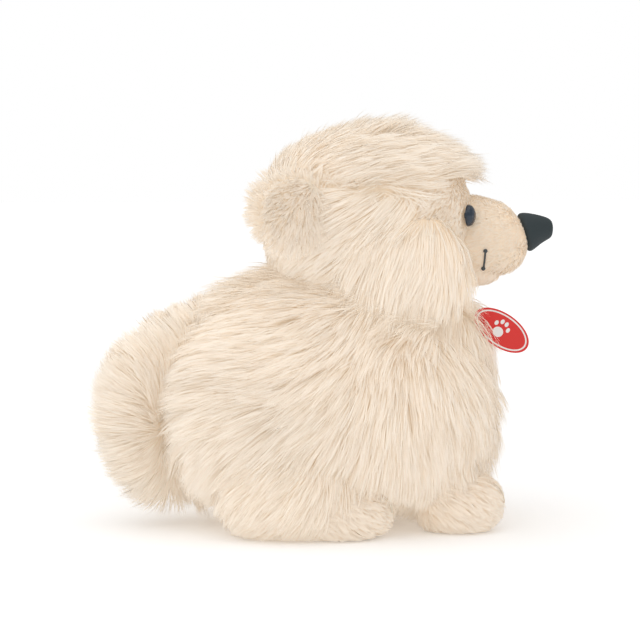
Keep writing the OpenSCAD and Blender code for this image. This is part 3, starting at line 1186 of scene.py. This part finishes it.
class OBJECT_OT_plush_head(PlushOperator, bpy.types.Operator):
    """Make the sides of the head, the crown, the face and the cheek ruffs"""

    bl_idname = "object.plush_head"
    bl_label = "Head"

    def execute(self, context):
        pile = context.scene.plush_pile
        core = stuffed("head_core", [head_egg(-1.2 * MM), nape_egg()])
        face = Vector((span("face_mask")[0].x, 0, 0))
        temple_back = Vector((38 * MM, 0, 0))
        gusset_low, gusset_high = span("crown_gusset")
        strip = gusset_high.y
        gusset_floor = at_height(gusset_low.z)
        muzzle = muzzle_egg(1.0 * MM)

        def fluff(p):
            """0 in the smooth fan of the cheek and 1 in the fluff of the crown."""
            return ease(3 * MM, 23 * MM, p[:, 2] - EYE_Z)

        def ahead(p):
            """1 over the face and 0 over the nape."""
            return ease(-22 * MM, 34 * MM, p[:, 0])

        def cheek_length(p, n):
            upper = ease(-30 * MM, 0, p[:, 2] - EYE_Z)
            return (0.55 + 0.45 * ahead(p)) * (0.75 + 0.15 * fluff(p) + 0.15 * upper)

        def comb_side(p, n):
            share = fluff(p)[:, None]
            return unit(comb_head(p, n)) * (1 - share) + unit(comb_crown(p, n)) * share

        def long_here(p, n):
            """Round the short patch behind the eye, whose lower edge slants down to the front."""
            patch_back, patch_top, edge_slope = 43 * MM, 18 * MM, -0.91
            z = p[:, 2] - EYE_Z
            below = z < -5 * MM + edge_slope * (p[:, 0] - 50 * MM)
            return below | (z > patch_top) | (p[:, 0] < patch_back)

        def short_here(p, n):
            return ~long_here(p, n)

        for name, side in SIDES:
            panel = cut(core, [(face, FORWARD), inwards(side)])

            def side_here(p, n):
                gusset = (np.abs(p[:, 1]) < strip) & (p[:, 2] > gusset_low.z)
                return long_here(p, n) & ~gusset

            growth = Pile(
                pile.cheek, comb_side, (32, 6), 165, pile.strand, seed=41 + side, where=side_here, sag=0.1,
                vary=cheek_length
            )
            node = "head_side_" + name
            plush(node, "head", "long_pile_cream", panel, growth, long_pile())
            temple = cut(core, [(face, FORWARD), (temple_back, -FORWARD), inwards(side, strip)])
            growth = Pile(
                pile.mask, comb_mask, (38, 0), 330, pile.hair * 1.2, steps=3, seed=45 + side, lock=8,
                bundle=70, where=short_here
            )
            plush("temple_" + name, "head", "short_pile_cream", temple, growth, short_pile(), nodes=[])
            ruff = stuffed("ruff_core", [mirrored(ruff_egg(), side)])
            growth = Pile(
                pile.ruff, comb_ruff, (20, -10), 165, pile.strand, seed=48 + side, sag=0.35,
                vary=lambda p, n: 0.5 + 0.5 * ease(4 * MM, 40 * MM, p[:, 0]),
                where=lambda p, n: n[:, 2] > -0.8
            )
            node = "cheek_ruff_" + name
            plush(node, "head", "long_pile_cream", ruff, growth, long_pile())
        panel = cut(core, [(gusset_floor, -UP), (face, FORWARD), *strip_edges(strip + 1 * MM)])
        growth = Pile(
            pile.crown, comb_crown, (46, 4), 300, pile.strand * 0.85, seed=51, stray=14, gather=0.35,
            vary=lambda p, n: 0.5 + 0.5 * ahead(p),
            where=lambda p, n: (p[:, 2] > EYE_Z + 13 * MM) | (p[:, 0] < 20 * MM)
        )
        plush("crown_gusset", "head", "long_pile_cream", panel, growth, long_pile())
        panel = cut(core, [(face, -FORWARD)])
        eyes = [middle("eye_" + name) for name, side in SIDES]

        def clear_of_eyes(p, n):
            keep = (muzzle.depth(p) > 0.97) & (p[:, 2] < EYE_Z + 21 * MM)
            for eye in eyes:
                keep &= away_from(p, eye) > 5.2 * MM
            return keep

        growth = Pile(
            pile.mask * 0.8, comb_mask, (36, -4), 380, pile.hair, steps=3, seed=53, lock=8, bundle=70,
            stray=9, where=clear_of_eyes
        )
        plush("face_mask", "head", "short_pile_cream", panel, growth, short_pile())
        growth = Pile(
            pile.crown * 0.85, comb_crown, (58, 20), 300, pile.strand * 0.85, steps=3, seed=54, stray=14,
            gather=0.35, where=lambda p, n: p[:, 2] > EYE_Z + 20 * MM
        )
        plush("brow", "head", "long_pile_cream", panel, growth, long_pile(), nodes=[])
        return {"FINISHED"}


class OBJECT_OT_plush_muzzle(PlushOperator, bpy.types.Operator):
    """Make the muzzle and the chin"""

    bl_idname = "object.plush_muzzle"
    bl_label = "Muzzle and chin"

    def execute(self, context):
        pile = context.scene.plush_pile
        muzzle = muzzle_egg()
        head = head_egg(-3 * MM)
        nose = spot(["nose"], 0.1, 0.5, 0.5)

        def shape(bm):
            for v in bm.verts:
                ahead = (v.co.x - muzzle.centre.x) / muzzle.front
                above = (v.co.z - muzzle.centre.z) / muzzle.up
                v.co.x -= 5 * MM * ease(0, 1, above) * ease(0.2, 1, ahead)
                v.co.z += (1.2 * MM + 5 * MM * ease(0.5, -0.8, ahead)) * ease(0, 1, above)

        def around(p, n):
            return (head.depth(p) > 1) & (away_from(p, nose) > 8.6 * MM)

        core = stuffed("muzzle_core", [muzzle], voxel=3 * MM, cap=1 * MM, shape=shape)
        growth = Pile(
            pile.nap, comb_muzzle, (44, 8), 480, pile.hair * 0.8, steps=2, seed=61, where=around, lock=6,
            bundle=60, gather=0.5, stray=11
        )
        plush("muzzle", "head", "short_pile_cream", core, growth, short_pile())
        core = stuffed("chin_core", [chin_egg()], voxel=3 * MM, cap=1 * MM)
        growth = Pile(
            pile.mask, comb_down, (36, -10), 300, pile.hair, steps=3, seed=63, where=around, lock=8, bundle=50
        )
        plush("chin", "head", "short_pile_cream", core, growth, short_pile())
        return {"FINISHED"}


class OBJECT_OT_plush_nose(PlushOperator, bpy.types.Operator):
    """Make the blunt velour nose"""

    bl_idname = "object.plush_nose"
    bl_label = "Nose"

    def execute(self, context):
        low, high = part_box("nose")
        tip = high.x
        level = (low.z + high.z) / 2
        # each ring's place behind the tip, its rise and its radius in millimetres, and its lean in degrees
        rings = (
            (-13.5, -0.4, 10.2, 16), (-10.2, 0.8, 10.4, 16), (-5.4, 2.0, 8.1, 12), (-1.6, 2.4, 6.5, 8),
            (1.2, 2.4, 5.3, 4), (2.6, 2.3, 3.9, 0), (3.0, 2.2, 1.6, 0)
        )
        bm = bmesh.new()
        edges = None
        for back, rise, radius, lean in rings:
            turn = Matrix.Rotation(math.radians(-lean), 3, "Y") @ Matrix.Rotation(math.radians(90), 3, "Y")
            ring = bmesh.ops.create_circle(bm, segments=48, radius=radius * MM)["verts"]
            for v in ring:
                v.co = turn @ v.co + Vector((tip + back * MM, 0, level + rise * MM))
            loop = list({e for v in ring for e in v.link_edges})
            if edges:
                bmesh.ops.bridge_loops(bm, edges=edges + loop)
            edges = loop
        bmesh.ops.holes_fill(bm, edges=[e for e in bm.edges if e.is_boundary])
        bmesh.ops.recalc_face_normals(bm, faces=bm.faces)
        mesh = made(bm, "nose_cone")
        mesh.polygons.foreach_set("use_smooth", np.ones(len(mesh.polygons), bool))
        obj = placed("nose_cone", mesh, nose_velour(), "head", "nose_velour", "nose")
        smooth = obj.modifiers.new("smooth", "SUBSURF")
        smooth.levels = 2
        smooth.render_levels = 2
        return {"FINISHED"}


class OBJECT_OT_plush_ears(PlushOperator, bpy.types.Operator):
    """Make the round ears, with a long-pile back and a short-pile lining"""

    bl_idname = "object.plush_ears"
    bl_label = "Ears"

    def execute(self, context):
        pile = context.scene.plush_pile
        for name, side in SIDES:
            centre = hinge("ear_" + name + "_flap") + Vector((-16 * MM, side * 5 * MM, 0))
            turn = math.radians(20)
            out = Vector((math.sin(turn), side * math.cos(turn), 0))
            for part, face in (("ear_lining_", 1), ("ear_back_", -1)):
                panel = self.disc(centre, out, face, 0.2 * face * MM)
                if face > 0:
                    growth = Pile(
                        pile.ear * 0.7, comb_from(centre, (-12 * MM, 0, -16 * MM)), (56, 10), 300,
                        pile.hair, steps=3, seed=71 + side, lock=9, bundle=60, gather=0.45, stray=16
                    )
                    material, slot = short_pile(), "short_pile_cream"
                else:
                    growth = Pile(
                        pile.ear, comb_from(centre, (-6 * MM, 0, 4 * MM)), (34, 12), 190,
                        pile.strand * 0.85, steps=3, seed=75 + side, lock=12, bundle=80
                    )
                    material, slot = long_pile(), "medium_pile_cream"
                node = part + name
                plush(node, "ear_" + name, slot, panel, growth, material)
        return {"FINISHED"}

    def disc(self, centre, out, face, offset):
        """Half of a flat round cushion, crowned towards its own face and upright at its rim."""
        bm = bmesh.new()
        ringed_disc(bm, 40, [0.44 * share for share in (0.25, 0.28, 0.35, 0.5)])
        turn = UP.rotation_difference(out).to_matrix()
        for v in bm.verts:
            crown = 4 * MM * face * math.sqrt(max(0, 1 - v.co.length_squared))
            v.co = Vector((v.co.x * 17 * MM, v.co.y * 17 * MM, crown))
        bmesh.ops.rotate(bm, verts=bm.verts, cent=ORIGIN, matrix=turn)
        bmesh.ops.translate(bm, verts=bm.verts, vec=centre + out * offset)
        bm.normal_update()
        inmost = min(bm.faces, key=lambda f: (f.calc_center_median() - centre).length)
        if inmost.normal.dot(out) * face < 0:
            bmesh.ops.reverse_faces(bm, faces=bm.faces)
        return made(bm, "ear_sheet")


class OBJECT_OT_plush_tail(PlushOperator, bpy.types.Operator):
    """Make the two halves of the curled tail"""

    bl_idname = "object.plush_tail"
    bl_label = "Tail"

    def execute(self, context):
        pile = context.scene.plush_pile
        low, high = span(*TAIL_NODES)
        waist = (low.z + high.z) / 2
        half = (high.z - low.z) / 2

        def curl(bm):
            for v in bm.verts:
                h = (v.co.z - waist) / half
                v.co.x += 22 * MM * h * h + 8 * MM * h + 6 * MM * float(ease(0.15, 0.7, h))

        egg = Egg((low.x + 21.5 * MM, 0, waist), 16 * MM, 15 * MM, 16 * MM, half - 4 * MM, 2.0)
        core = stuffed("tail_core", [egg], voxel=3.5 * MM, shape=curl)
        for name, side in SIDES:
            panel = cut(core, [inwards(side)])
            growth = Pile(
                pile.tail, comb_tail, (52, 16), 260, pile.strand * 0.85, seed=81 + side, gather=0.4, stray=11,
                vary=lambda p, n: 1 - 0.3 * ease(0.35, 1, (p[:, 2] - waist) / half)
            )
            node = "tail_panel_" + name
            plush(node, "tail", "long_pile_cream", panel, growth, long_pile())
        filling = stuffed(
            "tail_filling_core",
            [Egg(egg.centre, egg.front, egg.back, egg.side, egg.up, egg.power, grow=-3 * MM)],
            cap=0.5 * MM, shape=curl
        )
        obj = placed("tail_filling", filling, fibre_filling(), "tail", "fibre_fill", "tail_stuffing")
        return {"FINISHED"}


class OBJECT_OT_plush_labels(PlushOperator, bpy.types.Operator):
    """Make the woven chest label and the folded care label"""

    bl_idname = "object.plush_labels"
    bl_label = "Labels"

    def execute(self, context):
        self.chest_label()
        self.care_label()
        return {"FINISHED"}

    def chest_label(self):
        dip = math.radians(35)
        half_l, half_w = 16 * MM, 8.6 * MM
        bm = bmesh.new()
        ringed_disc(bm, 64, [0.12] * 7)
        layer = bm.loops.layers.uv.new(PILE_UV)
        for face in bm.faces:
            for loop in face.loops:
                loop[layer].uv = (loop.vert.co.x / 2 + 0.5, loop.vert.co.y / 2 + 0.5)
        for v in bm.verts:
            x, y = v.co.x, v.co.y
            v.co = Vector((x * half_l, 1.1 * MM * (x * x - 0.4) + 0.3 * MM * x * y, y * half_w))
        bmesh.ops.rotate(bm, verts=bm.verts, cent=ORIGIN, matrix=Matrix.Rotation(dip, 3, "Y"))
        bmesh.ops.translate(bm, verts=bm.verts, vec=middle("chest_label"))
        obj = self.ribbon("chest_label", bm, 0.9 * MM, label_weave(), "label", "red_label_weave")

    def care_label(self):
        low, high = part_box("care_label")
        width = high.x - low.x
        bm = bmesh.new()
        bmesh.ops.create_grid(bm, x_segments=6, y_segments=14, size=0.5)
        reach = math.hypot(high.y - low.y, high.z - low.z)
        for v in bm.verts:
            v.co = Vector(((low.x + high.x) / 2 + v.co.x * width, (v.co.y + 0.5) * reach, 0))
            v.co.z = 1.2 * MM * math.sin(v.co.y / reach * math.pi)
        drop = math.atan2(high.z - low.z, high.y - low.y)
        bmesh.ops.rotate(bm, verts=bm.verts, cent=ORIGIN, matrix=Matrix.Rotation(-drop, 3, "X"))
        bmesh.ops.translate(bm, verts=bm.verts, vec=(0, low.y, high.z))
        obj = self.ribbon("care_label", bm, 0.4 * MM, satin(), "torso", "white_satin")

    def ribbon(self, node, bm, thickness, material, body, slot):
        """A label's sheet with its layers' thickness."""
        name = node + "_ribbon"
        obj = placed(name, made(bm, name), material, body, slot, node)
        wall = obj.modifiers.new("layers", "SOLIDIFY")
        wall.thickness = thickness
        wall.offset = 0
        return obj


class OBJECT_OT_plush_trims(PlushOperator, bpy.types.Operator):
    """Finish the eyes, threads, washers, filling, pouch and pellets"""

    bl_idname = "object.plush_trims"
    bl_label = "Eyes, threads and filling"

    def execute(self, context):
        finish_nodes(eye_plastic, "eye_left", "eye_right")
        finish_nodes(washer_plastic, "eye_washer_left", "eye_washer_right")
        finish_nodes(mouth_thread, "mouth_stitches")
        finish_nodes(seam_thread, "closing_seam", "toe_stitches")
        finish_nodes(pouch_cloth, "bean_pouch")
        finish_nodes(pellet_plastic, "bean_pellets")
        finish_nodes(
            fibre_filling, "torso_stuffing", "neck_stuffing", "head_stuffing", "tail_root_stuffing",
            "front_paw_stuffing_left", "front_paw_stuffing_right", "rear_paw_stuffing_left",
            "rear_paw_stuffing_right"
        )
        cloth_patch("base_panel")
        return {"FINISHED"}


class SCENE_OT_plush_stage(PlushOperator, bpy.types.Operator):
    """Make the floor, the lights and the camera"""

    bl_idname = "scene.plush_stage"
    bl_label = "Stage"

    def execute(self, context):
        scene = context.scene
        stage = scene.plush_stage
        scene.view_settings.view_transform = "Standard"
        self.floor()
        self.sky(stage.sky)
        self.sun("key_light", stage.key, KEY_TILT, KEY_SOFTNESS)
        self.camera(stage)
        return {"FINISHED"}

    def floor(self):
        bm = bmesh.new()
        bmesh.ops.create_grid(bm, x_segments=1, y_segments=1, size=6)
        obj = new_object("floor", made(bm, "floor"))
        material, principled = shader("floor", 0.9)
        principled.inputs["Base Color"].default_value = (*bpy.context.scene.plush_colours.floor, 1)
        principled.inputs["Specular IOR Level"].default_value = 0.1
        principled.inputs["Emission Color"].default_value = (1, 1, 1, 1)
        principled.inputs["Emission Strength"].default_value = FLOOR_GLOW
        obj.data.materials.append(material)

    def sky(self, strength):
        """An even white sky, brighter to the camera than to the toy."""
        world = bpy.data.worlds.new("sky")
        world.use_nodes = True
        tree = world.node_tree
        background = tree.nodes["Background"]
        background.inputs["Color"].default_value = (1, 1, 1, 1)
        seen = tree.nodes.new("ShaderNodeLightPath")
        level = tree.nodes.new("ShaderNodeMix")
        level.inputs["A"].default_value = strength
        level.inputs["B"].default_value = 1.0
        tree.links.new(seen.outputs["Is Camera Ray"], level.inputs["Factor"])
        tree.links.new(level.outputs["Result"], background.inputs["Strength"])
        bpy.context.scene.world = world

    def sun(self, name, strength, tilt, softness):
        """A wide soft light; tilt is its angle from overhead, forward and to the side, in degrees."""
        data = bpy.data.lights.new(name, "SUN")
        data.energy = strength
        data.angle = math.radians(softness)
        obj = bpy.data.objects.new(name, data)
        obj.rotation_euler = (math.radians(tilt[0]), math.radians(tilt[1]), 0)
        bpy.context.scene.collection.objects.link(obj)

    def camera(self, stage):
        low, high = (Vector(c) for c in CAD_BOX)
        target = Vector(((low.x + high.x) / 2 - 3 * MM, 0, (low.z + high.z) / 2 + 5 * MM))
        data = bpy.data.cameras.new("camera")
        data.lens = stage.focal
        distance = stage.view_width * data.lens / data.sensor_width
        azimuth, elevation = stage.azimuth, stage.elevation
        flat = math.cos(elevation)
        away = Vector((math.sin(azimuth) * flat, -math.cos(azimuth) * flat, math.sin(elevation)))
        obj = bpy.data.objects.new("camera", data)
        obj.location = target + away * distance
        obj.rotation_euler = away.to_track_quat("Z", "Y").to_euler()
        bpy.context.scene.collection.objects.link(obj)
        bpy.context.scene.camera = obj


class VIEW3D_PT_plush_dog(bpy.types.Panel):
    """Lists the steps that make the plush dog"""

    bl_label = "Plush dog"
    bl_idname = "VIEW3D_PT_plush_dog"
    bl_space_type = "VIEW_3D"
    bl_region_type = "UI"
    bl_category = "Plush dog"

    def draw(self, context):
        for operator in OPERATORS:
            self.layout.operator(operator.bl_idname)


OPERATORS = (
    SCENE_OT_plush_stage,
    OBJECT_OT_plush_torso,
    OBJECT_OT_plush_chest,
    OBJECT_OT_plush_paws,
    OBJECT_OT_plush_head,
    OBJECT_OT_plush_muzzle,
    OBJECT_OT_plush_nose,
    OBJECT_OT_plush_ears,
    OBJECT_OT_plush_tail,
    OBJECT_OT_plush_labels,
    OBJECT_OT_plush_trims,
)
SETTINGS = (("plush_pile", PlushPile), ("plush_colours", PlushColours), ("plush_stage", PlushStage))


def register():
    for name, group in SETTINGS:
        bpy.utils.register_class(group)
        setattr(bpy.types.Scene, name, bpy.props.PointerProperty(type=group))
    for cls in (*OPERATORS, VIEW3D_PT_plush_dog):
        bpy.utils.register_class(cls)


def unregister():
    for cls in reversed((*OPERATORS, VIEW3D_PT_plush_dog)):
        bpy.utils.unregister_class(cls)
    for name, group in reversed(SETTINGS):
        delattr(bpy.types.Scene, name)
        bpy.utils.unregister_class(group)


def main():
    register()
    for operator in OPERATORS:
        group, name = operator.bl_idname.split(".")
        getattr(getattr(bpy.ops, group), name)()


if __name__ == "__main__":
    main()
